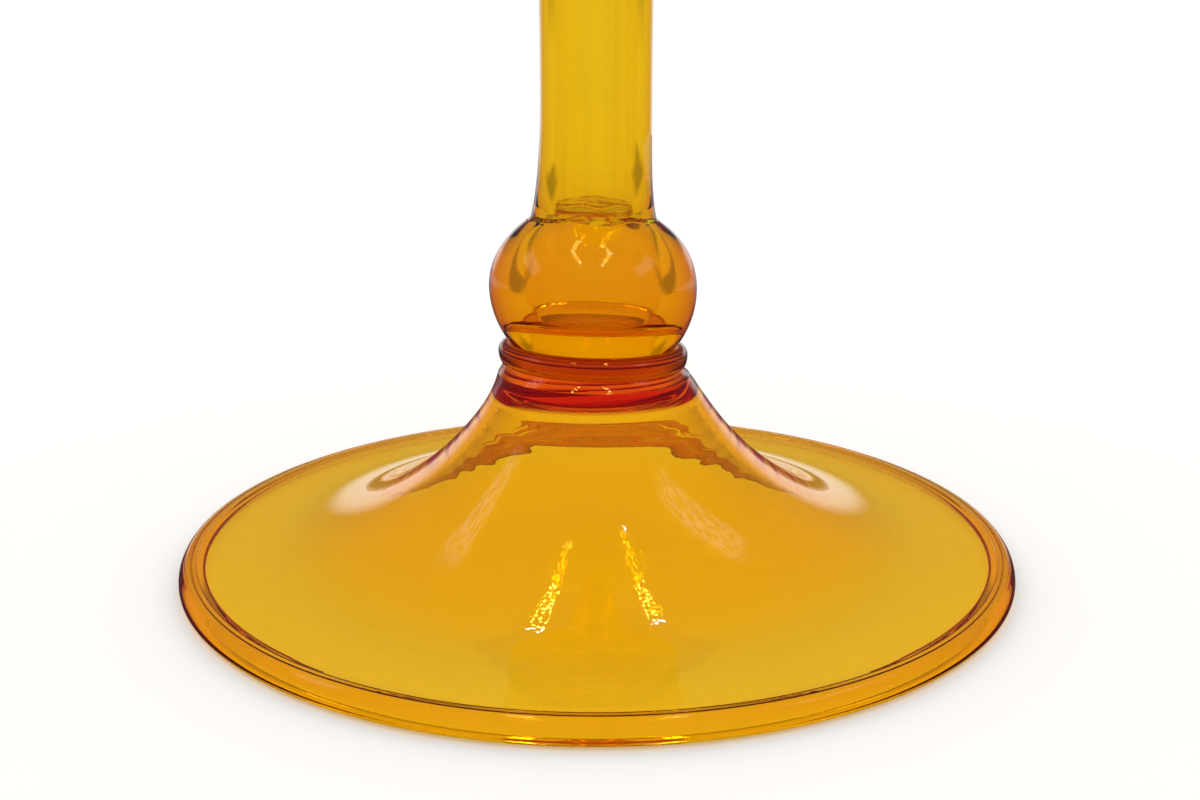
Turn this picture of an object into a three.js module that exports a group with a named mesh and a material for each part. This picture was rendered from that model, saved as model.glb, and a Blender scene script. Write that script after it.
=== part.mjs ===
// Trumpet vase of amber glass: a blown foot with a folded hem, a neck wafer, a bead, a hollow ball knop,
// a stem wafer and a tall flared body, all turned round one upright axis and joined hot, face on face.
// Millimetres, +Z up. The origin is the centre of the ring that the foot stands on.

import * as THREE from "three";

// Driving dimensions: the whole vase
const TOTAL_HEIGHT = 410;
const FACETS = 48; // flats round each turned piece

// Driving dimensions: foot
const FOOT_DIAMETER = 170;
const FOOT_HEIGHT = 36.5; // table to the flat top that the neck wafer sits on
const PLATE_WALL = 2.3;
const CONE_WALL = 3.6; // where the cone meets the crown; it thins evenly down to the plate
const CROWN_THICKNESS = 4; // solid glass above the hollow of the foot
const CROWN_CORNER = 3; // rounding where the hollow's wall meets its ceiling
const PLATE_WIDTH = 12; // almost flat stretch between hem and cone
const PLATE_SLOPE = 0.015; // rise of the plate towards the cone
const CONE_TOP_ANGLE = 24; // degrees off the upright where the cone leaves the neck
const CONE_TOP_REACH = 14.2; // how far the cone keeps that direction
const CONE_FOOT_REACH = 23.4; // how far the plate's slope runs on into the cone

// Driving dimensions: hem, the foot's edge folded back under itself
const HEM_WIDTH = 5;
const HEM_FLAP = 1.8; // folded glass below the plate
const FLAP_CORNER = 0.8; // rounding at the flap's inner edge
const HEM_STEP = 0.12; // rise from the plate to the top of the hem

// Driving dimensions: neck wafer and bead
const NECK_HEIGHT = 2;
const NECK_FLARE = 1.35; // widening from the groove down to the foot
const BEAD_HEIGHT = 4.5;
const BEAD_BELT_HEIGHT = 2.5; // widest level, above the bead's own base
const BEAD_STAND = 2.15; // how far the bead stands out past the ball's seat
const GROOVE_DEPTH = 0.95; // between the neck wafer and the bead

// Driving dimensions: hollow ball knop
const BALL_SEAT_DIAMETER = 34.8; // flat ring-shaped joint with the bead
const BALL_SEAT_WIDTH = 5.3; // of that ring, round the pocket under the ball
const BALL_HEIGHT = 25;
const BALL_BELT_HEIGHT = 11.4; // widest level, above the ball's own base
const BALL_SWELL = 3.8; // how far the belt stands out past the seat
const BALL_WALL = 5.8;
const BALL_FLOOR_HEIGHT = 5.4; // top of the hollow's floor, above the ball's own base
const BALL_FLOOR_WALL = 0.6; // glass between the hollow and the pocket
const BALL_FLOOR_INSET = 2.9; // floor edge inside the hollow's widest ring
const POCKET_FLARE = 1; // widening of the pocket up to the floor
const BALL_MOUTH_DIAMETER = 10; // opening that the stem wafer closes

// Driving dimensions: stem wafer and flared body
const WAFER_HEIGHT = 0.8;
const WAFER_FLARE = 0.6;
const PLUG_HEIGHT = 2.3; // lump on the wafer that stands in the bore
const PLUG_CORNER = 0.9;
const PLUG_CLEARANCE = 0.3; // between that lump and the bore
const STEM_DIAMETER = 22;
const STEM_WALL = 2.9;
const STEM_FOOT_FLARE = 1.6; // widening where the stem meets the wafer
const STEM_FOOT_LENGTH = 7; // height over which most of that widening fades
const MOUTH_DIAMETER = 186;
const LIP_WALL = 2.2;
const FLARE_POWER = 3.6; // higher keeps the stem slim for longer

// Counts of straight steps along the curved stretches
const CONE_STEPS = 11;
const CORNER_STEPS = 3;
const ROLL_STEPS = 8;
const BEAD_STEPS = 4;
const BALL_STEPS = 6;
const STEM_FOOT_STEPS = 4;
const FLARE_STEPS = 15;
const LIP_STEPS = 4;

// Radii and heights that follow from the driving dimensions
const footRadius = FOOT_DIAMETER / 2;
const ballSeatRadius = BALL_SEAT_DIAMETER / 2;
const beadRadius = ballSeatRadius + BEAD_STAND;
const grooveRadius = beadRadius - GROOVE_DEPTH;
const crownRadius = grooveRadius + NECK_FLARE;
const ballRadius = ballSeatRadius + BALL_SWELL;
const pocketMouthRadius = ballSeatRadius - BALL_SEAT_WIDTH;
const stemRadius = STEM_DIAMETER / 2;
const boreRadius = stemRadius - STEM_WALL;
const stemFootRadius = stemRadius + STEM_FOOT_FLARE;
const waferRadius = stemFootRadius + WAFER_FLARE;
const mouthRadius = MOUTH_DIAMETER / 2;
const bodyHeight =
  TOTAL_HEIGHT - FOOT_HEIGHT - NECK_HEIGHT - BEAD_HEIGHT - BALL_HEIGHT - WAFER_HEIGHT;

// Profiles are lists of (radius, height) points. Each runs along the underside, up the outside and
// back to where it began, so that the turned faces point outwards.
const at = (radius, height) => new THREE.Vector2(radius, height);

// A stretch of an upright ellipse about (radius, height), between two angles from the outward direction.
function ellipseArc(radius, height, halfWidth, halfHeight, from, to, steps) {
  const curve = new THREE.EllipseCurve(radius, height, halfWidth, halfHeight, from, to, to < from);
  return curve.getPoints(steps);
}

// A swelling side about the axis: an ellipse arc from its belt to a level where the radius is given.
function swell(beltRadius, beltHeight, endRadius, endHeight, steps) {
  const turn = Math.acos(endRadius / beltRadius);
  const rise = endHeight - beltHeight;
  return ellipseArc(0, beltHeight, beltRadius, Math.abs(rise) / Math.sin(turn), 0, Math.sign(rise) * turn, steps);
}

// A polyline moved to the left of its direction by wall(i), the thickness at point i.
function offset(points, wall) {
  return points.map((point, i) => {
    const before = points[Math.max(i - 1, 0)];
    const after = points[Math.min(i + 1, points.length - 1)];
    const along = after.clone().sub(before).normalize();
    return at(point.x - along.y * wall(i), point.y + along.x * wall(i));
  });
}

// An inner wall that ends in a flat face across the axis at a level, with a rounded corner between them.
function closedAt(wall, level, corner) {
  const side = Math.sign(wall[0].y - level);
  const bendLevel = level + side * corner;
  const last = wall[wall.length - 1];
  const beyond = last.clone().sub(wall[wall.length - 2]).setLength(FOOT_HEIGHT).add(last);
  const path = [...wall, beyond];
  const kept = path.filter((point) => side * (point.y - bendLevel) > 0);
  const above = kept[kept.length - 1];
  const below = path[kept.length];
  const reach = (height) => above.clone().lerp(below, (height - above.y) / (below.y - above.y));
  const edge = reach(level);
  const bend = new THREE.QuadraticBezierCurve(reach(bendLevel), edge, at(edge.x - corner, level));
  return [...kept, ...bend.getPoints(CORNER_STEPS), at(0, level)];
}

// One piece of glass turned from its profile.
function turned(name, colour, profile) {
  const geometry = new THREE.LatheGeometry(profile, FACETS);
  geometry.rotateX(Math.PI / 2); // the profile's height becomes Z
  const glass = { color: colour, roughness: 0.04, metalness: 0, transparent: true, opacity: 0.8 };
  const mesh = new THREE.Mesh(geometry, new THREE.MeshStandardMaterial(glass));
  mesh.name = name;
  return mesh;
}

// Foot: solid crown, hollow cone, plate and a hem whose flap lies fused under the plate's edge.
function footProfile() {
  const flapEnd = footRadius - HEM_WIDTH;
  const plateLevel = HEM_FLAP + PLATE_WALL;
  const plateEnd = at(flapEnd, plateLevel);
  const coneFoot = at(flapEnd - PLATE_WIDTH, plateLevel + PLATE_SLOPE * PLATE_WIDTH);
  const coneTop = at(crownRadius, FOOT_HEIGHT);
  const topAngle = THREE.MathUtils.degToRad(CONE_TOP_ANGLE);
  const cone = new THREE.CubicBezierCurve(
    coneFoot,
    at(-1, PLATE_SLOPE).setLength(CONE_FOOT_REACH).add(coneFoot),
    at(Math.sin(topAngle), -Math.cos(topAngle)).multiplyScalar(CONE_TOP_REACH).add(coneTop),
    coneTop,
  );
  const top = [plateEnd, ...cone.getPoints(CONE_STEPS)];
  const rise = (point) => Math.max(0, (point.y - coneFoot.y) / (coneTop.y - coneFoot.y));
  const under = offset(top, (i) => THREE.MathUtils.lerp(PLATE_WALL, CONE_WALL, rise(top[i])));
  under[0] = at(flapEnd, HEM_FLAP);
  const hollow = closedAt(under, FOOT_HEIGHT - CROWN_THICKNESS, CROWN_CORNER).reverse();

  const left = Math.PI;
  const down = 1.5 * Math.PI;
  const up = 2.5 * Math.PI;
  const flap = ellipseArc(
    flapEnd + FLAP_CORNER, FLAP_CORNER, FLAP_CORNER, FLAP_CORNER, left, down, CORNER_STEPS,
  );
  const rollRadius = (plateLevel + HEM_STEP) / 2;
  const roll = ellipseArc(footRadius - rollRadius, rollRadius, rollRadius, rollRadius, down, up, ROLL_STEPS);
  return [...hollow, ...flap, ...roll, ...top, at(0, FOOT_HEIGHT)];
}

// Neck wafer: a low spool that narrows from the foot's crown to the groove under the bead.
function neckProfile() {
  const side = new THREE.QuadraticBezierCurve(
    at(crownRadius, 0),
    at(grooveRadius + NECK_FLARE / 3, NECK_HEIGHT / 2),
    at(grooveRadius, NECK_HEIGHT),
  );
  return [at(0, 0), ...side.getPoints(CORNER_STEPS), at(0, NECK_HEIGHT)];
}

// Bead: a solid ring-shaped wafer, fuller below its belt than above.
function beadProfile() {
  const lower = ellipseArc(
    grooveRadius, BEAD_BELT_HEIGHT, GROOVE_DEPTH, BEAD_BELT_HEIGHT, -Math.PI / 2, 0, BEAD_STEPS,
  );
  const upper = ellipseArc(
    ballSeatRadius, BEAD_BELT_HEIGHT, BEAD_STAND, BEAD_HEIGHT - BEAD_BELT_HEIGHT, 0, Math.PI / 2, BEAD_STEPS,
  );
  return [at(0, 0), ...lower, ...upper.slice(1), at(0, BEAD_HEIGHT)];
}

// Ball knop: a thick-walled hollow ball, open at its top, on a ring-shaped seat round a shallow pocket.
function ballProfile() {
  const hollowRadius = ballRadius - BALL_WALL;
  const floorRadius = hollowRadius - BALL_FLOOR_INSET;
  const mouthEdge = BALL_MOUTH_DIAMETER / 2;
  const pocketTop = BALL_FLOOR_HEIGHT - BALL_FLOOR_WALL;
  const lowerSide = swell(ballRadius, BALL_BELT_HEIGHT, ballSeatRadius, 0, BALL_STEPS).reverse();
  const upperSide = swell(ballRadius, BALL_BELT_HEIGHT, waferRadius, BALL_HEIGHT, BALL_STEPS);
  const upperHollow = swell(hollowRadius, BALL_BELT_HEIGHT, mouthEdge, BALL_HEIGHT, BALL_STEPS).reverse();
  const lowerHollow = swell(hollowRadius, BALL_BELT_HEIGHT, floorRadius, BALL_FLOOR_HEIGHT, BALL_STEPS);
  return [
    at(0, pocketTop),
    at(pocketMouthRadius + POCKET_FLARE, pocketTop),
    at(pocketMouthRadius, 0),
    ...lowerSide,
    ...upperSide.slice(1),
    ...upperHollow,
    ...lowerHollow.slice(1),
    at(0, BALL_FLOOR_HEIGHT),
  ];
}

// Stem wafer: a thin disc on the ball's open top, with a low lump that stands in the stem's bore.
function waferProfile() {
  const lumpRadius = boreRadius - PLUG_CLEARANCE;
  const lumpTop = WAFER_HEIGHT + PLUG_HEIGHT;
  const edge = ellipseArc(
    lumpRadius - PLUG_CORNER, lumpTop - PLUG_CORNER, PLUG_CORNER, PLUG_CORNER, 0, Math.PI / 2, CORNER_STEPS,
  );
  return [
    at(0, 0),
    at(waferRadius, 0),
    at(stemFootRadius, WAFER_HEIGHT),
    at(lumpRadius, WAFER_HEIGHT),
    ...edge,
    at(0, lumpTop),
  ];
}

// Body: a slim stem with a straight bore that the wafer closes, widening steadily into the trumpet mouth.
function bodyProfile() {
  const lean = Math.atan((FLARE_POWER * (mouthRadius - stemRadius)) / bodyHeight); // of the wall at the lip
  const rimHeight = bodyHeight - (LIP_WALL / 2) * (1 + Math.sin(lean));
  const rimRadius = mouthRadius - (LIP_WALL / 2) * (1 - Math.cos(lean));
  const footFade = (height) => STEM_FOOT_FLARE * Math.exp(-height / STEM_FOOT_LENGTH);
  const opening = (height) => (rimRadius - stemRadius) * (height / rimHeight) ** FLARE_POWER;
  const straightFrom = 3 * STEM_FOOT_LENGTH;
  const heights = [];
  for (let i = 0; i < STEM_FOOT_STEPS; i++) {
    heights.push((straightFrom * i) / STEM_FOOT_STEPS);
  }
  for (let i = 0; i <= FLARE_STEPS; i++) {
    heights.push(straightFrom + ((rimHeight - straightFrom) * i) / FLARE_STEPS);
  }
  const trumpet = heights.map((height) => at(stemRadius + opening(height), height));
  const side = heights.map((height, i) => at(trumpet[i].x + footFade(height), height));
  const wallAt = (i) => THREE.MathUtils.lerp(STEM_WALL, LIP_WALL, heights[i] / rimHeight);
  const bore = offset(trumpet, wallAt).reverse();
  bore[bore.length - 1] = at(boreRadius, 0);
  const middle = side[side.length - 1].clone().lerp(bore[0], 0.5);
  const lip = ellipseArc(
    middle.x, middle.y, LIP_WALL / 2, LIP_WALL / 2, -lean, Math.PI - lean, LIP_STEPS,
  );
  return [...side, ...lip.slice(1, -1), ...bore, side[0].clone()];
}

// The stack, from the table up: each piece stands on the one before it.
const stack = [
  [turned("foot", 0xdda712, footProfile()), FOOT_HEIGHT],
  [turned("neck_wafer", 0xae4016, neckProfile()), NECK_HEIGHT],
  [turned("bead", 0x833410, beadProfile()), BEAD_HEIGHT],
  [turned("ball_knop", 0xda870b, ballProfile()), BALL_HEIGHT],
  [turned("stem_wafer", 0xb06b10, waferProfile()), WAFER_HEIGHT],
  [turned("trumpet_body", 0xe5b318, bodyProfile()), bodyHeight],
];

const vase = new THREE.Group();
let level = 0;
for (const [piece, height] of stack) {
  piece.position.z = level;
  vase.add(piece);
  level += height;
}

export default vase;
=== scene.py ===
"""Trumpet vase of amber glass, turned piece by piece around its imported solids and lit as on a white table.

Every piece is one closed body of glass that takes its colour from its thickness: thin walls look gold,
the thick ball orange and the solid bead deep red. Lengths are metres and +Z is up.
"""

import math

import bmesh
import bpy
from bpy.props import FloatProperty, FloatVectorProperty, IntProperty, PointerProperty
from bpy.types import Operator, Panel, PropertyGroup
from mathutils import Matrix, Vector, noise
from mathutils.geometry import interpolate_bezier


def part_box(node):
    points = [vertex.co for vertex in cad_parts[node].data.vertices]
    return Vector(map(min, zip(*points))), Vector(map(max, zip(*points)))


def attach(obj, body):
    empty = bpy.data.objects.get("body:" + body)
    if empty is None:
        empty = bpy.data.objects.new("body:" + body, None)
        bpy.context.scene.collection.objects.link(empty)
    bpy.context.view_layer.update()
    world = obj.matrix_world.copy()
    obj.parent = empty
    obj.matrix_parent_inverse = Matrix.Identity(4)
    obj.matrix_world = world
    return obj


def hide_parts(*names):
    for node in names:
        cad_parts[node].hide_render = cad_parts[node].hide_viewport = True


bl_info = {
    "name": "Amber trumpet vase",
    "version": (1, 0, 0),
    "blender": (4, 5, 0),
    "location": "View3D > Sidebar > Vase",
    "description": "Turns an amber glass trumpet vase and sets its white table",
    "category": "Add Mesh",
}

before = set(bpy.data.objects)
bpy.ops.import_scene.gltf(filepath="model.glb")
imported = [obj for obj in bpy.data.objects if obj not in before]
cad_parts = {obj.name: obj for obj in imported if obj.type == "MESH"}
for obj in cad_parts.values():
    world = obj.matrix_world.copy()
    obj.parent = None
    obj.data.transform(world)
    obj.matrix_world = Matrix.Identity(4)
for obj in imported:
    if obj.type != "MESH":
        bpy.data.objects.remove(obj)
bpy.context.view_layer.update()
MM = 0.001
UP, DOWN = math.pi / 2, -math.pi / 2
WHITE = (1, 1, 1, 1)

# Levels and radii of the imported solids
FOOT_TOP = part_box("foot")[1].z
NECK_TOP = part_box("neck_wafer")[1].z
BEAD_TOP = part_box("bead")[1].z
BALL_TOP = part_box("ball_knop")[1].z
WAFER_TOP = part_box("trumpet_body")[0].z
BODY_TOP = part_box("trumpet_body")[1].z
FOOT_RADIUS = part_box("foot")[1].x
CROWN_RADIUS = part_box("neck_wafer")[1].x
BEAD_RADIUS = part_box("bead")[1].x
BALL_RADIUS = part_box("ball_knop")[1].x
WAFER_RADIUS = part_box("stem_wafer")[1].x
MOUTH_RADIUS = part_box("trumpet_body")[1].x

# Fineness of the meshes: which points are one, which edges stay sharp, and the steps up the trumpet
WELD = 0.001 * MM
SHARP_EDGE = math.radians(50)
TRUMPET_STEPS = 150
STEP_GROWTH = 1.8

# Traces of hand work in the stack, each with the levels over which it grows or fades
SEAT_TILT = -0.03
TILT_GROWS = (FOOT_TOP - 2.5 * MM, NECK_TOP)
TILT_FADES = (BEAD_TOP + 2 * MM, BALL_TOP)
SEAM_WAVES = 1.7
SEAM_RISE = 0.6 * MM
SEAM_CORE = 6 * MM
SEAM_GROWS = (BALL_TOP - 6 * MM, BALL_TOP)
SEAM_FADES = (WAFER_TOP + 1 * MM, WAFER_TOP + 9 * MM)
BALL_DRIFT = -0.85 * MM
BALL_DRIFT_GROWS = (FOOT_TOP - 8 * MM, NECK_TOP + 2 * MM)
STEM_DRIFT = 0.7 * MM
STEM_DRIFT_GROWS = (BALL_TOP - 8 * MM, BALL_TOP + 24 * MM)

# Tool rings inside the cone: their spacing, and how far they waver round it
RIPPLE_PITCH = 1.4 * MM
RIPPLE_WAVER = 0.35

# Grain of each piece: marks per metre round it and up it, how strong they show, and how high they stand
GRAIN = {
    "foot": (240, 240, 0.1, 0.008 * MM),
    "neck_wafer": (45, 1100, 0.15, 0.03 * MM),
    "bead": (45, 1100, 0.15, 0.03 * MM),
    "ball_knop": (160, 160, 0.05, 0.006 * MM),
    "stem_wafer": (300, 300, 0.1, 0.02 * MM),
    "trumpet_body": (520, 10, 0.3, 0.01 * MM),
}

# Streaks, seeds and wiped marks in every piece: where each pattern begins to show and shows in full
STREAK_DETAIL = 3
STREAK_SHOWS = (0.48, 0.72)
STREAK_TINT = (0.8, 0.74, 0.6, 1)
SEEDS_PER_METRE = 150
SEED_EDGE = (0.03, 0.05)
SEED_CHOICE = (0.7, 0.72)
WIPES_PER_METRE = 60
WIPE_SHOWS = (0.6, 0.8)
WIPE_ROUGHNESS = 0.006

# White table: half its width, its drop below the foot, its tone and the light on it
TABLE_HALF = 6
TABLE_DROP = 0.05 * MM
TABLE_TONE = 0.94
TABLE_LIGHT = 1.1

# Painted shade on the table as the glass mirrors it: the run away from the vase over which it grows paler,
# and its two painted tones
PALER_RUN = (0.15, 0.6)
PAINTED_MIRROR_SHADES = (0.06, 0.4)

# Painted shade on the table seen through the glass: dim patches beside the vase, their shade, and where each
# edge fades
PATCH_SHADE = 0.5
PATCH_SIDES = ((0.2, 0.3), (0.8, 1))
PATCH_DEPTH = ((0.05, 0.2), (0.35, 0.55))

# Room as the glass mirrors it: a white wall behind, its lean and fading edges, and the dim rest
WALL_LEAN = -0.2
WALL_TOP = (0.02, 0.15)
WALL_BACK = (0.62, 0.88)
WALL_SIDES = (0.46, 0.76)
DIM_ROOM = 0.11

# Room seen through the glass: levels overhead and in front, and the shade in its far corners
CEILING_RUN = (0.45, 0.65)
CEILING_LEVEL = 0.8
FRONT_RUN = (-0.5, 0.1)
FRONT_LEVEL = 0.8
CORNER_SHADE = 0.5
CORNER_SIDES = (0.5, 0.75)
CORNER_RISE = (0.04, 0.14)
CORNER_BACK = (0.15, 0.4)

# Bulbs: spacing across and along a row, the soft edge of each, and the warm stretch of a row
BULB_PITCH = (0.011, 0.026)
BULB_EDGE = (0.24, 0.32)
WARM_STRETCH = ((0.04, 0.12), (0.88, 0.96))
WARM_LIGHT = (1, 0.8, 0.12, 1)

# Windows: clouding of the pane, its level in the gaps, and the feathered edges
CLOUDS = 11
CLOUD_DETAIL = 4
CLOUD_SHOWS = (0.4, 0.62)
CLOUD_GAP_LEVEL = 0.1
FEATHER = ((0, 0.25), (0.75, 1))

# Lamps: their glow and width, and the two ends of each
LAMP_LEVEL = 0.68
ROW_GLOW = 30
ROWS = (
    ("row_left", (-0.1, -0.05, LAMP_LEVEL), (-0.104, 0.5, LAMP_LEVEL), 0.03),
    ("row_right", (0.104, -0.1, LAMP_LEVEL), (0.104, 0.42, LAMP_LEVEL), 0.028),
)
BEND_GLOW = 26
BEND_WIDTH = 0.05
BENDS = (
    ("bend_left_high", (-0.09, -0.11, LAMP_LEVEL), (-0.22, -0.28, LAMP_LEVEL)),
    ("bend_left_low", (-0.22, -0.28, LAMP_LEVEL), (-0.17, -0.54, LAMP_LEVEL)),
    ("bend_right_high", (0.09, -0.11, LAMP_LEVEL), (0.19, -0.26, LAMP_LEVEL)),
    ("bend_right_low", (0.19, -0.26, LAMP_LEVEL), (0.14, -0.62, LAMP_LEVEL)),
)
HIGH_WINDOW_GLOW = 1.4
HIGH_WINDOW_WIDTH = 0.16
HIGH_WINDOWS = (
    ("window_left", (-0.76, -0.09, LAMP_LEVEL), (-0.41, 0.41, LAMP_LEVEL)),
    ("window_right", (0.4, -0.2, LAMP_LEVEL), (0.49, 0.4, LAMP_LEVEL)),
)
SIDE_WINDOW_GLOW = 1.6
SIDE_WINDOW_WIDTH = 0.14
SIDE_WINDOWS = (
    ("side_left", (-0.385, 0.115, 0.372), (-0.422, -0.216, 0.263)),
    ("side_right", (0.409, -0.005, 0.365), (0.357, -0.294, 0.287)),
)

# Camera: its sensor, the photo's width and focal length in pixels, its place and its tilt
SENSOR_WIDTH = 36
PHOTO_WIDTH = 1200
PHOTO_FOCAL_LENGTH = 1117
CAMERA_PLACE = (0.58 * MM, -2.674 * FOOT_RADIUS, 1.03 * FOOT_RADIUS)
CAMERA_TILT = math.radians(14.12)
NEAREST_SEEN = 0.01

# How often light may bounce on its way through the stack of glass
BOUNCES = 64


def length(name, description, default):
    """A size that a user may change."""
    return FloatProperty(name=name, description=description, default=default, unit="LENGTH", precision=5)


def amber(name, default):
    """A colour of glass that a user may change."""
    return FloatVectorProperty(
        name=name, description="Absorption per metre in red, green and blue", size=3, default=default)


def skin(name, default=(1, 1, 1)):
    """A tint at the surface of the glass that a user may change."""
    return FloatVectorProperty(
        name=name, description="Share of light that passes in and out of the surface",
        size=3, default=default, subtype="COLOR", min=0, max=1)


class FootSizes(PropertyGroup):
    """Sizes of the blown foot"""
    wall: length("Plate wall", "Thickness of the plate", 2.3 * MM)
    cone_wall: length("Cone wall", "Thickness of the cone below the crown", 3.4 * MM)
    crown: length("Crown", "Solid glass above the hollow", 4.0 * MM)
    crown_corner: length("Crown corner", "Rounding of the hollow's ceiling", 3.0 * MM)
    plate_width: length("Plate width", "Flat stretch between hem and cone", 12.0 * MM)
    plate_slope: FloatProperty(
        name="Plate slope", description="Rise of the plate towards the cone", default=0.015)
    cone_angle: FloatProperty(
        name="Cone angle", description="Lean of the cone where it leaves the neck",
        default=math.radians(24), subtype="ANGLE")
    cone_top_reach: length("Cone top reach", "How far the cone keeps that lean", 14.2 * MM)
    cone_foot_reach: length("Cone foot reach", "How far the plate's slope runs into the cone", 23.4 * MM)
    hem_width: length("Hem width", "Width of the folded edge", 5.0 * MM)
    flap: length("Flap", "Folded glass below the plate", 1.8 * MM)
    flap_round: length("Flap rounding", "Width of the soft inner edge of the flap", 2.0 * MM)
    fold_width: length("Fold line width", "Width of the fine lines round the hem", 0.4 * MM)
    fold_depth: length("Fold line depth", "Depth of the inner of those lines", 0.08 * MM)
    crease_depth: length("Crease depth", "Depth of the darker crease outside it", 0.22 * MM)
    hem_belt: length("Hem belt", "Widest level of the hem above the table", 1.4 * MM)
    hem_step: length("Hem step", "Rise from the plate to the top of the hem", 0.12 * MM)
    step_run: length("Step run", "Width of the slope over which it rises", 1.2 * MM)
    ripple: length("Ripple", "Height of the tool rings inside the cone", 0.07 * MM)


class KnopSizes(PropertyGroup):
    """Sizes of the neck wafer, the bead and the ball knop"""
    groove_depth: length("Groove depth", "Groove between neck wafer and bead", 0.95 * MM)
    bead_belt: length("Bead belt", "Widest level above the bead's base", 2.5 * MM)
    ball_seat: length("Ball seat", "Radius of the joint of bead and ball", 17.4 * MM)
    ball_belt: length("Ball belt", "Widest level above the ball's base", 11.4 * MM)
    ball_wall: length("Ball wall", "Thickness at the ball's belt", 6.8 * MM)
    ball_floor: length("Ball floor", "Level of the hollow's floor above the ball's seat", 5.4 * MM)
    floor_radius: length("Floor radius", "Radius where the hollow's side would meet its floor", 12.5 * MM)
    floor_corner: length("Floor corner", "Rounding between the hollow's side and floor", 1.2 * MM)
    base: length("Base", "Glass between the floor and the pocket below", 0.6 * MM)
    pocket_radius: length("Pocket radius", "Radius of the air pocket under the ball", 13.1 * MM)
    pocket_mouth: length("Pocket mouth", "Radius of that pocket at the seat", 12.1 * MM)
    pocket_corner: length("Pocket corner", "Rounding of that pocket", 0.3 * MM)
    ball_mouth: length("Ball mouth", "Radius of the opening under the stem wafer", 5.0 * MM)


class BodySizes(PropertyGroup):
    """Sizes of the stem wafer and the trumpet body"""
    plug_clearance: length("Plug clearance", "Air between the wafer's lump and the bore", 0.3 * MM)
    plug_height: length("Plug height", "Height of that lump at its edge", 2.3 * MM)
    plug_corner: length("Plug corner", "Rounding of that lump", 0.9 * MM)
    plug_dome: length("Plug dome", "Rise of that lump towards its middle", 0.25 * MM)
    stem_radius: length("Stem radius", "Slimmest radius of the stem", 11.0 * MM)
    stem_foot_flare: length("Stem foot flare", "Widening where the stem meets the wafer", 1.6 * MM)
    stem_foot_length: length("Stem foot length", "Height over which that widening fades", 7.0 * MM)
    stem_wall: length("Stem wall", "Thickness of the stem", 2.9 * MM)
    lip_wall: length("Lip wall", "Thickness at the lip", 2.2 * MM)
    flare_power: FloatProperty(
        name="Flare power", description="Higher keeps the stem slim for longer", default=3.6)


class VaseSettings(PropertyGroup):
    """Sizes of all pieces and the colours of their glass"""
    foot: PointerProperty(type=FootSizes)
    knop: PointerProperty(type=KnopSizes)
    body: PointerProperty(type=BodySizes)
    segments: IntProperty(name="Segments", description="Steps round each piece", default=192, min=24)
    joint_gap: length("Joint gap", "Air between pieces at a hot joint", 0.02 * MM)
    glass_ior: FloatProperty(name="Refraction", description="Index of refraction of the glass", default=1.5)
    foot_amber: amber("Foot amber", (13, 107, 800))
    neck_wafer_amber: amber("Neck wafer amber", (9, 66, 800))
    bead_amber: amber("Bead amber", (21, 88, 800))
    ball_knop_amber: amber("Ball amber", (14, 62, 800))
    stem_wafer_amber: amber("Stem wafer amber", (9, 18, 800))
    trumpet_body_amber: amber("Body amber", (26, 86, 800))
    foot_skin: skin("Foot skin")
    neck_wafer_skin: skin("Neck wafer skin")
    bead_skin: skin("Bead skin")
    ball_knop_skin: skin("Ball skin", (0.95, 0.79, 0.6))
    stem_wafer_skin: skin("Stem wafer skin")
    trumpet_body_skin: skin("Body skin", (0.97, 0.89, 0.7))


def settings():
    """The vase's settings in the open file."""
    return bpy.context.scene.vase


def at(radius, height):
    """A point of a profile."""
    return Vector((radius, height))


def curve(start, pull_out, pull_in, end, steps):
    """A cubic curve from start to end, steered by two handles."""
    return [at(p[0], p[1]) for p in interpolate_bezier(start, pull_out, pull_in, end, steps + 1)]


def bend(start, corner, end, steps):
    """A curve from start to end that leans towards a corner between them."""
    pull = 2 / 3
    return curve(start, start.lerp(corner, pull), end.lerp(corner, pull), end, steps)


def arc(centre, width, height, first, last, steps):
    """A stretch of an ellipse between two angles from the outward direction."""
    turns = [first + (last - first) * i / steps for i in range(steps + 1)]
    return [at(centre.x + width * math.cos(t), centre.y + height * math.sin(t)) for t in turns]


def swell(belt, level, end, end_level, steps):
    """A swelling side about the axis, from its belt to the level where it has the end radius."""
    turn = math.acos(end / belt)
    rise = end_level - level
    return arc(at(0, level), belt, abs(rise) / math.sin(turn), 0, math.copysign(turn, rise), steps)


def groove(radius, level, width, depth, steps=10):
    """A fine rounded groove across a level face, drawn inwards."""
    shares = [i / steps for i in range(steps + 1)]
    return [at(radius + width * (0.5 - t), level - depth * math.sin(math.pi * t) ** 2) for t in shares]


def offset(points, walls):
    """A line moved to the left of its direction by a wall for each point."""
    moved = []
    for i, point in enumerate(points):
        along = (points[min(i + 1, len(points) - 1)] - points[max(i - 1, 0)]).normalized()
        moved.append(at(point.x - along.y * walls[i], point.y + along.x * walls[i]))
    return moved


def closed_at(wall, level, corner, steps=12):
    """An inner wall that ends in a flat face across the axis, with a rounded corner between."""
    side = math.copysign(1, wall[0].y - level)
    bend_level = level + side * corner
    beyond = wall[-1] + (wall[-1] - wall[-2]).normalized() * FOOT_TOP
    path = wall + [beyond]
    kept = [p for p in path if side * (p.y - bend_level) > 0]
    above, below = kept[-1], path[len(kept)]
    start = above.lerp(below, (bend_level - above.y) / (below.y - above.y))
    edge = above.lerp(below, (level - above.y) / (below.y - above.y))
    finish = at(edge.x - corner, level)
    return kept + bend(start, edge, finish, steps) + [at(0, level)]


def ease(value, span):
    """A soft step from 0 at the start of a span to 1 at its end."""
    low, high = span
    t = min(max((value - low) / (high - low), 0), 1)
    return t * t * (3 - 2 * t)


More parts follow.
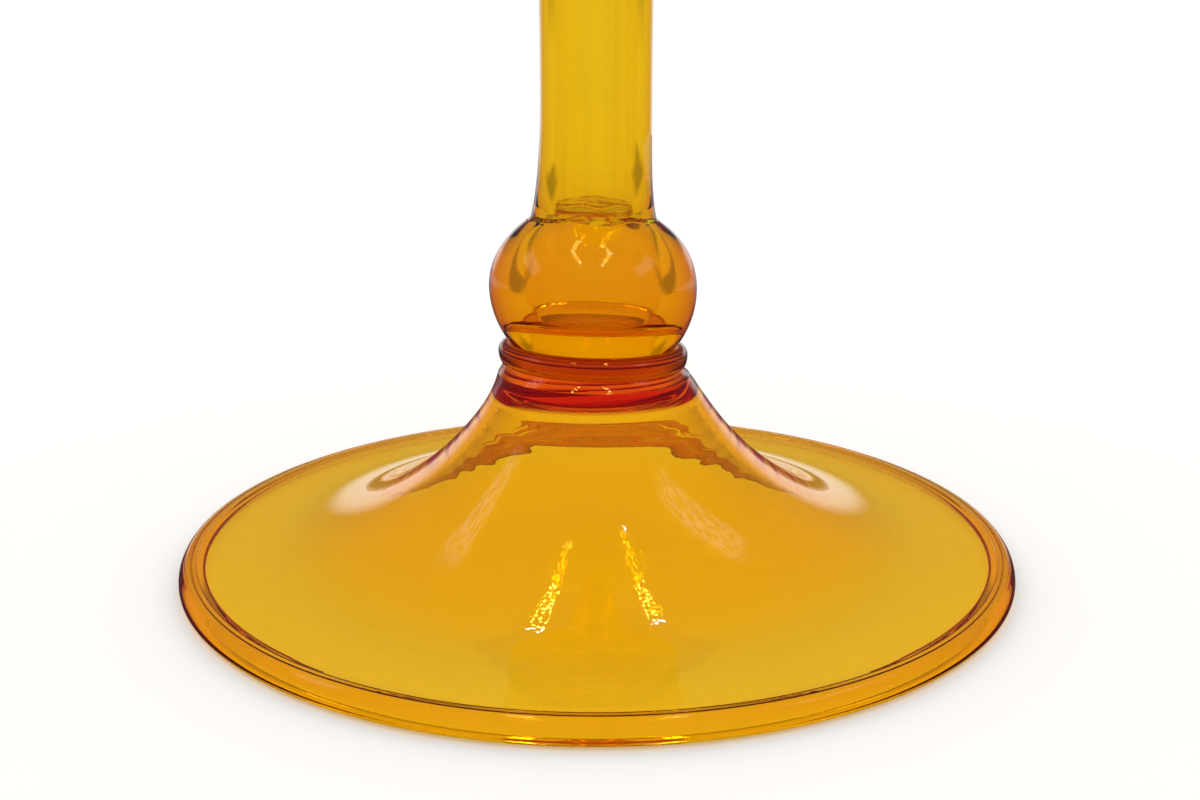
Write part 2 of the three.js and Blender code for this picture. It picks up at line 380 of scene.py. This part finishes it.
def by_hand(place):
    """Where hand work puts a point of the true stack: seats tilt, seams waver and the axis drifts."""
    level = place.z
    turn = Vector((place.x, place.y, 0))
    tilt = SEAT_TILT * ease(level, TILT_GROWS) * (1 - ease(level, TILT_FADES))
    seam = SEAM_RISE * ease(level, SEAM_GROWS) * (1 - ease(level, SEAM_FADES))
    wave = noise.noise(turn.normalized() * SEAM_WAVES) * min(turn.length / SEAM_CORE, 1)
    rise = tilt * place.x + seam * wave
    drift = BALL_DRIFT * ease(level, BALL_DRIFT_GROWS) + STEM_DRIFT * ease(level, STEM_DRIFT_GROWS)
    return place + Vector((drift, 0, rise))


def ring_wave(place):
    """How far a tool ring stands out at a point of the cone's inner wall, from -1 to 1."""
    around = Vector((place.x, place.y, 0)).normalized() * RIPPLE_WAVER
    return noise.noise(around + Vector((0, 0, place.z / RIPPLE_PITCH)))


def turned_mesh(name, profile, ripples):
    """Spins a profile into one closed mesh, with the traces that tools and hands leave."""
    bm = bmesh.new()
    ripple = bm.verts.layers.float.new("ripple")
    ring = [bm.verts.new((p.x, 0, p.y)) for p in profile]
    for vert, height in zip(ring, ripples):
        vert[ripple] = height
    line = [bm.edges.new(pair) for pair in zip(ring, ring[1:])]
    if profile[0].x and profile[-1].x:
        line.append(bm.edges.new((ring[-1], ring[0])))
    bmesh.ops.spin(
        bm, geom=ring + line, axis=(0, 0, 1), cent=(0, 0, 0), angle=math.tau,
        steps=settings().segments, use_merge=True)
    bmesh.ops.remove_doubles(bm, verts=bm.verts, dist=WELD)
    bmesh.ops.recalc_face_normals(bm, faces=bm.faces)
    bm.normal_update()
    for vert in bm.verts:
        if vert[ripple]:
            vert.co += vert.normal * vert[ripple] * ring_wave(vert.co)
    for vert in bm.verts:
        vert.co = by_hand(vert.co)
    mesh = bpy.data.meshes.new(name)
    bm.to_mesh(mesh)
    bm.free()
    mesh.shade_smooth()
    mesh.set_sharp_from_angle(angle=SHARP_EDGE)
    return mesh


def turned_piece(name, node, profile, ripples=()):
    """One closed piece of glass that stands for a solid."""
    mesh = turned_mesh(name, profile, ripples)
    piece = bpy.data.objects.new(name, mesh)
    bpy.context.scene.collection.objects.link(piece)
    mesh.materials.append(amber_glass(name, node))
    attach(piece, "root")
    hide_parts(node)


def feed(tree, socket, value):
    """Links an input to a node's output, or sets it to a number or colour."""
    if isinstance(value, bpy.types.NodeSocket):
        tree.links.new(value, socket)
    else:
        socket.default_value = value


def ramp(tree, value, span, start=0, finish=1):
    """A soft step of a node's value over a span."""
    low, high = span
    node = tree.nodes.new("ShaderNodeMapRange")
    node.interpolation_type = "SMOOTHSTEP"
    for name, number in (("From Min", low), ("From Max", high), ("To Min", start), ("To Max", finish)):
        node.inputs[name].default_value = number
    tree.links.new(value, node.inputs["Value"])
    return node.outputs["Result"]


def reckon(tree, operation, *values, clamp=True):
    """What an operation makes of node values or numbers, kept between 0 and 1 unless told otherwise."""
    node = tree.nodes.new("ShaderNodeMath")
    node.operation = operation
    node.use_clamp = clamp
    for socket, value in zip(node.inputs, values):
        feed(tree, socket, value)
    return node.outputs["Value"]


def product(tree, first, *others):
    """The product of several node values or numbers, kept between 0 and 1."""
    for other in others:
        first = reckon(tree, "MULTIPLY", first, other)
    return first


def between(tree, value, edges):
    """A band of a node's value that fades in over one span and out over another."""
    fade_in, fade_out = edges
    return product(tree, ramp(tree, value, fade_in), ramp(tree, value, fade_out, 1, 0))


def blend(tree, share, first, second, kind="FLOAT"):
    """A mix of two node values, numbers or colours."""
    node = tree.nodes.new("ShaderNodeMix")
    node.data_type = kind
    for name, value in (("Factor", share), ("A", first), ("B", second)):
        feed(tree, node.inputs[name], value)
    return node.outputs["Result"]


def parts_of(tree, vector):
    """The X, Y and Z of a node's vector."""
    node = tree.nodes.new("ShaderNodeSeparateXYZ")
    tree.links.new(vector, node.inputs["Vector"])
    return node.outputs


def vector_of(tree, x, y, z=0):
    """A vector of three node values or numbers."""
    node = tree.nodes.new("ShaderNodeCombineXYZ")
    for name, value in (("X", x), ("Y", y), ("Z", z)):
        feed(tree, node.inputs[name], value)
    return node.outputs["Vector"]


def texture(tree, kind, place, scale):
    """A noise or cell texture at a place."""
    node = tree.nodes.new(kind)
    node.inputs["Scale"].default_value = scale
    tree.links.new(place, node.inputs["Vector"])
    return node


def glass_skin():
    """Shared node group: faint streaks in the glass, tiny seeds and wiped marks, from marks per metre."""
    name = "glass_skin"
    if name in bpy.data.node_groups:
        return bpy.data.node_groups[name]
    tree = bpy.data.node_groups.new(name, "ShaderNodeTree")
    for socket in ("Round", "Upward", "Streaks"):
        tree.interface.new_socket(socket, in_out="INPUT", socket_type="NodeSocketFloat")
    tree.interface.new_socket("Clear", in_out="INPUT", socket_type="NodeSocketColor")
    tree.interface.new_socket("Tint", in_out="OUTPUT", socket_type="NodeSocketColor")
    for socket in ("Height", "Roughness"):
        tree.interface.new_socket(socket, in_out="OUTPUT", socket_type="NodeSocketFloat")
    given = tree.nodes.new("NodeGroupInput").outputs
    result = tree.nodes.new("NodeGroupOutput").inputs
    place = tree.nodes.new("ShaderNodeTexCoord").outputs["Object"]

    stretched = tree.nodes.new("ShaderNodeVectorMath")
    stretched.operation = "MULTIPLY"
    tree.links.new(place, stretched.inputs[0])
    tree.links.new(vector_of(tree, given["Round"], given["Round"], given["Upward"]), stretched.inputs[1])
    streaks = texture(tree, "ShaderNodeTexNoise", stretched.outputs["Vector"], 1)
    streaks.inputs["Detail"].default_value = STREAK_DETAIL

    seeds = texture(tree, "ShaderNodeTexVoronoi", place, SEEDS_PER_METRE)
    chosen = ramp(tree, parts_of(tree, seeds.outputs["Color"])["X"], SEED_CHOICE)
    seed = product(tree, ramp(tree, seeds.outputs["Distance"], SEED_EDGE, 1, 0), chosen)

    streak = product(tree, ramp(tree, streaks.outputs["Fac"], STREAK_SHOWS), given["Streaks"])
    mark = reckon(tree, "MAXIMUM", streak, seed)
    tree.links.new(blend(tree, mark, given["Clear"], STREAK_TINT, "RGBA"), result["Tint"])
    tree.links.new(reckon(tree, "ADD", streaks.outputs["Fac"], seed), result["Height"])

    wipes = texture(tree, "ShaderNodeTexNoise", place, WIPES_PER_METRE)
    tree.links.new(ramp(tree, wipes.outputs["Fac"], WIPE_SHOWS, 0, WIPE_ROUGHNESS), result["Roughness"])
    return tree


def amber_glass(name, node):
    """Clear amber glass that takes its colour from the depth of glass that light crosses."""
    vase = settings()
    *marks, relief = GRAIN[node]
    material = bpy.data.materials.new("clear_" + name)
    material.use_nodes = True
    tree = material.node_tree
    shader = tree.nodes["Principled BSDF"]
    shader.inputs["IOR"].default_value = vase.glass_ior
    shader.inputs["Transmission Weight"].default_value = 1
    surface = tree.nodes.new("ShaderNodeGroup")
    surface.node_tree = glass_skin()
    for socket, value in zip(("Round", "Upward", "Streaks"), marks):
        surface.inputs[socket].default_value = value
    surface.inputs["Clear"].default_value = (*getattr(vase, node + "_skin"), 1)
    tree.links.new(surface.outputs["Tint"], shader.inputs["Base Color"])
    tree.links.new(surface.outputs["Roughness"], shader.inputs["Roughness"])
    bump = tree.nodes.new("ShaderNodeBump")
    bump.inputs["Strength"].default_value = 1
    bump.inputs["Distance"].default_value = relief
    tree.links.new(surface.outputs["Height"], bump.inputs["Height"])
    tree.links.new(bump.outputs["Normal"], shader.inputs["Normal"])
    depth = tree.nodes.new("ShaderNodeVolumeAbsorption")
    absorbed = getattr(vase, node + "_amber")
    density = max(absorbed)
    depth.inputs["Color"].default_value = (*[1 - k / density for k in absorbed], 1)
    depth.inputs["Density"].default_value = density
    tree.links.new(depth.outputs["Volume"], tree.nodes["Material Output"].inputs["Volume"])
    return material


def foot_profile():
    """Hollow, folded hem, plate and cone of the foot, with the ripple height at each point."""
    size = settings().foot
    gap = settings().joint_gap / 2
    flap_end = FOOT_RADIUS - size.hem_width
    plate_level = size.flap + size.wall
    plate_end = at(flap_end, plate_level)
    cone_foot = at(flap_end - size.plate_width, plate_level + size.plate_slope * size.plate_width)
    cone_top = at(CROWN_RADIUS, FOOT_TOP - gap)
    plate_pull = at(-1, size.plate_slope).normalized() * size.cone_foot_reach
    neck_pull = at(math.sin(size.cone_angle), -math.cos(size.cone_angle)) * size.cone_top_reach
    cone = curve(cone_foot, cone_foot + plate_pull, cone_top + neck_pull, cone_top, steps=90)
    plate_steps = 8
    plate = [plate_end.lerp(cone_foot, i / plate_steps) for i in range(plate_steps)]
    top = plate + cone
    climbs = [max(0, p.y - cone_foot.y) for p in top]
    thinning = size.wall - size.cone_wall
    under = offset(top, [size.cone_wall + thinning * math.exp(-climb / size.wall) for climb in climbs])
    under[0] = at(flap_end, plate_level - size.wall)
    hollow = closed_at(under, FOOT_TOP - size.crown, size.crown_corner)
    hollow.reverse()

    hem_top = plate_level + size.hem_step
    half = hem_top / 2
    belt = at(FOOT_RADIUS - half, size.hem_belt)
    flap_edge = at(flap_end + size.flap_round, size.flap)
    flap = arc(flap_edge, size.flap_round, size.flap, math.pi, 1.5 * math.pi, steps=20)
    lower_roll = arc(belt, half, belt.y, DOWN, 0, steps=24)
    upper_roll = arc(belt, half, hem_top - belt.y, 0, UP, steps=24)
    crease = groove(belt.x - size.fold_width, hem_top, size.fold_width, size.crease_depth)
    crest = at(flap_end + size.step_run, hem_top)
    fold_line = groove(crest.x + size.fold_width, hem_top, size.fold_width, size.fold_depth)
    level_pull = at(size.step_run / 2, 0)
    step = curve(crest, crest - level_pull, plate_end + level_pull, plate_end, steps=10)
    hem = flap + lower_roll + upper_roll[1:] + crease + fold_line + step[:-1]

    cone_low, cone_high = cone_foot.y, FOOT_TOP - size.crown - size.crown_corner
    ripples = [size.ripple if cone_low < p.y < cone_high else 0 for p in hollow]
    return hollow + hem + top + [at(0, FOOT_TOP - gap)], ripples


def neck_profile():
    """A low spool between the foot's crown and the groove."""
    size = settings().knop
    gap = settings().joint_gap / 2
    low, high = FOOT_TOP + gap, NECK_TOP - gap
    waist = BEAD_RADIUS - size.groove_depth
    middle = at((CROWN_RADIUS + 2 * waist) / 3, (low + high) / 2)
    side = bend(at(CROWN_RADIUS, low), middle, at(waist, high), steps=16)
    return [at(0, low)] + side + [at(0, high)]


def bead_profile():
    """A solid ring-shaped wafer, fuller below its belt."""
    size = settings().knop
    gap = settings().joint_gap / 2
    low, high = NECK_TOP + gap, BEAD_TOP - gap
    belt = NECK_TOP + size.bead_belt
    waist = BEAD_RADIUS - size.groove_depth
    lower = arc(at(waist, belt), size.groove_depth, belt - low, DOWN, 0, steps=16)
    upper = arc(at(size.ball_seat, belt), BEAD_RADIUS - size.ball_seat, high - belt, 0, UP, steps=20)
    return [at(0, low)] + lower + upper[1:] + [at(0, high)]


def ball_profile():
    """A thick-walled hollow ball on a ring-shaped seat, with a pocket under its floor and an open top."""
    size = settings().knop
    gap = settings().joint_gap / 2
    low, high = BEAD_TOP + gap, BALL_TOP - gap
    belt = BEAD_TOP + size.ball_belt
    floor = BEAD_TOP + size.ball_floor
    hollow = BALL_RADIUS - size.ball_wall
    pocket_top = floor - size.base
    side = swell(BALL_RADIUS, belt, size.ball_seat, low, steps=32)
    side.reverse()
    side += swell(BALL_RADIUS, belt, WAFER_RADIUS, high, steps=40)[1:]
    inside = swell(hollow, belt, size.ball_mouth, high, steps=40)
    inside.reverse()
    inside += swell(hollow, belt, size.floor_radius, floor, steps=32)[1:]
    inside = closed_at(inside, floor, size.floor_corner)
    pocket_middle = at((size.pocket_mouth + size.pocket_radius) / 2, (low + pocket_top) / 2)
    pocket = closed_at([at(size.pocket_mouth, low), pocket_middle], pocket_top, size.pocket_corner)
    pocket.reverse()
    return pocket + side + inside


def wafer_profile():
    """A thin disc between the ball's open top and the stem, with a low domed lump in the stem's bore."""
    size = settings().body
    gap = settings().joint_gap / 2
    low, high = BALL_TOP + gap, WAFER_TOP - gap
    stem_foot = size.stem_radius + size.stem_foot_flare
    plug = size.stem_radius - size.stem_wall - size.plug_clearance
    corner = size.plug_corner
    bend_level = high + size.plug_height - corner
    disc = [at(0, low), at(WAFER_RADIUS, low), at(stem_foot, high), at(plug, high)]
    edge = arc(at(plug - corner, bend_level), corner, corner, 0, UP, steps=8)
    return disc + edge + [at(0, bend_level + corner + size.plug_dome)]


def body_profile():
    """A slim stem with a straight bore, open at its bottom and widening into the trumpet mouth."""
    size = settings().body
    low = WAFER_TOP + settings().joint_gap / 2
    tall = BODY_TOP - low
    half_lip = size.lip_wall / 2
    lip_lean = math.atan(size.flare_power * (MOUTH_RADIUS - size.stem_radius) / tall)
    rim_rise = tall - half_lip * (1 + math.sin(lip_lean))
    rim_radius = MOUTH_RADIUS - half_lip * (1 - math.cos(lip_lean))

    shares = [(i / TRUMPET_STEPS) ** STEP_GROWTH for i in range(TRUMPET_STEPS + 1)]
    widening = rim_radius - size.stem_radius
    trumpet = [at(size.stem_radius + widening * t ** size.flare_power, low + rim_rise * t) for t in shares]
    flares = [size.stem_foot_flare * math.exp(-rim_rise * t / size.stem_foot_length) for t in shares]
    side = [at(p.x + flare, p.y) for p, flare in zip(trumpet, flares)]
    thinning = size.lip_wall - size.stem_wall
    bore = offset(trumpet, [size.stem_wall + thinning * t for t in shares])
    bore.reverse()
    lip = arc(side[-1].lerp(bore[0], 0.5), half_lip, half_lip, -lip_lean, math.pi - lip_lean, steps=14)
    return side + lip[1:-1] + bore


class VASE_OT_foot(Operator):
    """Turn the blown foot with its folded hem"""
    bl_idname = "vase.foot"
    bl_label = "Foot"

    def execute(self, context):
        profile, ripples = foot_profile()
        turned_piece("amber_foot", "foot", profile, ripples)
        return {"FINISHED"}


class VASE_OT_neck(Operator):
    """Turn the neck wafer and the bead above it"""
    bl_idname = "vase.neck"
    bl_label = "Neck wafer and bead"

    def execute(self, context):
        turned_piece("amber_neck_wafer", "neck_wafer", neck_profile())
        turned_piece("amber_bead", "bead", bead_profile())
        return {"FINISHED"}


class VASE_OT_ball(Operator):
    """Turn the hollow ball knop and the wafer that closes it"""
    bl_idname = "vase.ball"
    bl_label = "Ball knop and stem wafer"

    def execute(self, context):
        turned_piece("amber_ball_knop", "ball_knop", ball_profile())
        turned_piece("amber_stem_wafer", "stem_wafer", wafer_profile())
        return {"FINISHED"}


class VASE_OT_body(Operator):
    """Turn the stem and its trumpet mouth"""
    bl_idname = "vase.body"
    bl_label = "Trumpet body"

    def execute(self, context):
        turned_piece("amber_trumpet_body", "trumpet_body", body_profile())
        return {"FINISHED"}


def white_paint_and_painted_shade():
    """White paint, with painted shade where the glass mirrors it and in patches where it shows through
    glass.
    """
    material = bpy.data.materials.new("white_table")
    material.use_nodes = True
    tree = material.node_tree
    shader = tree.nodes["Principled BSDF"]
    shader.inputs["Roughness"].default_value = 1
    shader.inputs["Specular IOR Level"].default_value = 0
    path = tree.nodes.new("ShaderNodeLightPath").outputs
    place = parts_of(tree, tree.nodes.new("ShaderNodeTexCoord").outputs["Object"])
    across = reckon(tree, "ABSOLUTE", place["X"], clamp=False)
    # Painted shade: dim patches beside and behind the vase that only show through the glass
    beside = product(tree, between(tree, across, PATCH_SIDES), between(tree, place["Y"], PATCH_DEPTH))
    painted_shade_patches = product(tree, PATCH_SHADE, beside, path["Is Transmission Ray"])
    seen = blend(tree, painted_shade_patches, TABLE_TONE, 0)
    # Painted shade: in reflections the table turns dark near the vase and paler further back
    mirrored = ramp(tree, place["Y"], PALER_RUN, *PAINTED_MIRROR_SHADES)
    in_mirror = reckon(tree, "SUBTRACT", path["Is Glossy Ray"], path["Is Transmission Ray"])
    tree.links.new(blend(tree, in_mirror, seen, mirrored, "RGBA"), shader.inputs["Base Color"])
    return material


def white_table():
    """A wide pale floor just under the foot."""
    bm = bmesh.new()
    bmesh.ops.create_grid(bm, x_segments=1, y_segments=1, size=TABLE_HALF)
    bmesh.ops.translate(bm, verts=bm.verts, vec=(0, 0, -TABLE_DROP))
    mesh = bpy.data.meshes.new("white_table")
    bm.to_mesh(mesh)
    bm.free()
    table = bpy.data.objects.new("white_table", mesh)
    bpy.context.scene.collection.objects.link(table)
    mesh.materials.append(white_paint_and_painted_shade())


def studio_world():
    """A white wall behind the vase in a dim room, as the glass shows them, and even light on the table."""
    world = bpy.data.worlds.new("white_studio")
    bpy.context.scene.world = world
    world.use_nodes = True
    tree = world.node_tree
    back = tree.nodes["Background"]
    back.inputs["Color"].default_value = WHITE
    path = tree.nodes.new("ShaderNodeLightPath").outputs
    direction = parts_of(tree, tree.nodes.new("ShaderNodeTexCoord").outputs["Generated"])
    across = reckon(tree, "ABSOLUTE", direction["X"], clamp=False)
    slant = reckon(tree, "MULTIPLY_ADD", across, WALL_LEAN, direction["Z"], clamp=False)
    low_wall = ramp(tree, slant, WALL_TOP, 1, 0)
    back_wall = ramp(tree, direction["Y"], WALL_BACK)
    near_middle = ramp(tree, across, WALL_SIDES, 1, 0)
    mirrored = reckon(tree, "MAXIMUM", product(tree, low_wall, back_wall, near_middle), DIM_ROOM)

    ceiling = ramp(tree, direction["Z"], CEILING_RUN, 1, CEILING_LEVEL)
    front = ramp(tree, direction["Y"], FRONT_RUN, FRONT_LEVEL, 1)
    far_sides = product(tree, ramp(tree, across, CORNER_SIDES), ramp(tree, direction["Y"], CORNER_BACK))
    corners = product(tree, CORNER_SHADE, far_sides, ramp(tree, direction["Z"], CORNER_RISE))
    through = product(tree, ceiling, front, reckon(tree, "SUBTRACT", 1, corners))
    room = blend(tree, path["Is Transmission Ray"], mirrored, through)
    room_light = reckon(tree, "MULTIPLY", room, TABLE_LIGHT * TABLE_TONE, clamp=False)
    in_glass = reckon(tree, "ADD", path["Is Glossy Ray"], path["Is Transmission Ray"])
    direct = reckon(tree, "SUBTRACT", in_glass, path["Diffuse Depth"])
    tree.links.new(blend(tree, direct, TABLE_LIGHT, room_light), back.inputs["Strength"])


def lamp(name, start, end, width, glow, seen_in):
    """The nodes of a lamp strip between two points that lights the named pieces, or all without names."""
    run = end - start
    light = bpy.data.lights.new(name, "AREA")
    light.shape = "RECTANGLE"
    light.size = width
    light.size_y = run.length
    light.energy = glow * width * run.length * math.pi
    light.use_nodes = True
    strip = bpy.data.objects.new(name, light)
    middle = (start + end) / 2
    down = (Vector((0, 0, BALL_TOP)) - middle).normalized()
    side = run.cross(-down).normalized()
    facing = side.cross(run.normalized())
    strip.matrix_world = Matrix((side, run.normalized(), facing)).transposed().to_4x4()
    strip.location = middle
    strip.visible_camera = False
    strip.visible_diffuse = False
    bpy.context.scene.collection.objects.link(strip)
    if seen_in:
        lit = bpy.data.collections.new(name)
        for piece in seen_in:
            lit.objects.link(bpy.data.objects[piece])
        strip.light_linking.receiver_collection = lit
    return light.node_tree


def across_and_along(tree):
    """Shares of a lamp's width and length at a point of it."""
    parts = parts_of(tree, tree.nodes.new("ShaderNodeNewGeometry").outputs["Parametric"])
    return parts["X"], parts["Y"]


def shine(tree, pattern):
    """Lets a lamp glow by a pattern, but never onto the table."""
    path = tree.nodes.new("ShaderNodeLightPath").outputs
    unseen = reckon(tree, "SUBTRACT", pattern, path["Diffuse Depth"])
    tree.links.new(unseen, tree.nodes["Emission"].inputs["Strength"])


def bulb_row(name, start, end, width, glow, seen_in=()):
    """A row of small bulbs overhead between two points, white at its ends and warm between."""
    start, end = Vector(start), Vector(end)
    tree = lamp(name, start, end, width, glow, seen_in)
    across, along = across_and_along(tree)
    pitch_across, pitch_along = BULB_PITCH
    column = reckon(tree, "MULTIPLY", across, width / pitch_across, clamp=False)
    row = reckon(tree, "MULTIPLY", along, (end - start).length / pitch_along, clamp=False)
    bulbs = texture(tree, "ShaderNodeTexVoronoi", vector_of(tree, column, row), 1)
    bulbs.voronoi_dimensions = "2D"
    shine(tree, ramp(tree, bulbs.outputs["Distance"], BULB_EDGE, 1, 0))
    colour = blend(tree, between(tree, along, WARM_STRETCH), WHITE, WARM_LIGHT, "RGBA")
    tree.links.new(colour, tree.nodes["Emission"].inputs["Color"])


def window(name, start, end, width, glow, seen_in):
    """A soft clouded window with feathered edges."""
    tree = lamp(name, Vector(start), Vector(end), width, glow, seen_in)
    across, along = across_and_along(tree)
    cloud = texture(tree, "ShaderNodeTexNoise", vector_of(tree, across, along), CLOUDS)
    cloud.inputs["Detail"].default_value = CLOUD_DETAIL
    pane = ramp(tree, cloud.outputs["Fac"], CLOUD_SHOWS, CLOUD_GAP_LEVEL, 1)
    shine(tree, product(tree, pane, between(tree, across, FEATHER), between(tree, along, FEATHER)))


def lamps():
    """Two rows of bulbs overhead, the bent rows that the ball shows and soft windows on both sides."""
    knop = ("amber_ball_knop", "amber_bead", "amber_neck_wafer")
    foot = ("amber_foot",)
    for name, start, end, width in ROWS:
        bulb_row(name, start, end, width, ROW_GLOW)
    for name, start, end in BENDS:
        bulb_row(name, start, end, BEND_WIDTH, BEND_GLOW, knop)
    for name, start, end in HIGH_WINDOWS:
        window(name, start, end, HIGH_WINDOW_WIDTH, HIGH_WINDOW_GLOW, foot)
    for name, start, end in SIDE_WINDOWS:
        window(name, start, end, SIDE_WINDOW_WIDTH, SIDE_WINDOW_GLOW, knop)


def camera():
    """The photograph's view, low and close to the foot."""
    lens = bpy.data.cameras.new("photo_view")
    lens.sensor_width = SENSOR_WIDTH
    lens.lens = SENSOR_WIDTH * PHOTO_FOCAL_LENGTH / PHOTO_WIDTH
    lens.clip_start = NEAREST_SEEN
    view = bpy.data.objects.new("photo_view", lens)
    view.location = CAMERA_PLACE
    view.rotation_euler = (UP - CAMERA_TILT, 0, 0)
    bpy.context.scene.collection.objects.link(view)
    bpy.context.scene.camera = view


class VASE_OT_stage(Operator):
    """Set the white table, the light and the camera"""
    bl_idname = "vase.stage"
    bl_label = "Stage"

    def execute(self, context):
        scene = context.scene
        scene.view_settings.view_transform = "Standard"
        scene.cycles.max_bounces = BOUNCES
        scene.cycles.transmission_bounces = BOUNCES
        scene.cycles.glossy_bounces = BOUNCES
        scene.cycles.blur_glossy = 0
        camera()
        white_table()
        studio_world()
        lamps()
        return {"FINISHED"}


class VASE_PT_panel(Panel):
    """Lists the pieces of the vase"""
    bl_label = "Amber trumpet vase"
    bl_idname = "VASE_PT_panel"
    bl_space_type = "VIEW_3D"
    bl_region_type = "UI"
    bl_category = "Vase"

    def draw(self, context):
        for step in STEPS:
            self.layout.operator(step.bl_idname)


STEPS = (VASE_OT_foot, VASE_OT_neck, VASE_OT_ball, VASE_OT_body, VASE_OT_stage)
CLASSES = (FootSizes, KnopSizes, BodySizes, VaseSettings, *STEPS, VASE_PT_panel)


def register():
    for cls in CLASSES:
        bpy.utils.register_class(cls)
    bpy.types.Scene.vase = PointerProperty(type=VaseSettings)


def unregister():
    del bpy.types.Scene.vase
    for cls in reversed(CLASSES):
        bpy.utils.unregister_class(cls)


def main():
    register()
    bpy.ops.vase.foot()
    bpy.ops.vase.neck()
    bpy.ops.vase.ball()
    bpy.ops.vase.body()
    bpy.ops.vase.stage()


if __name__ == "__main__":
    main()
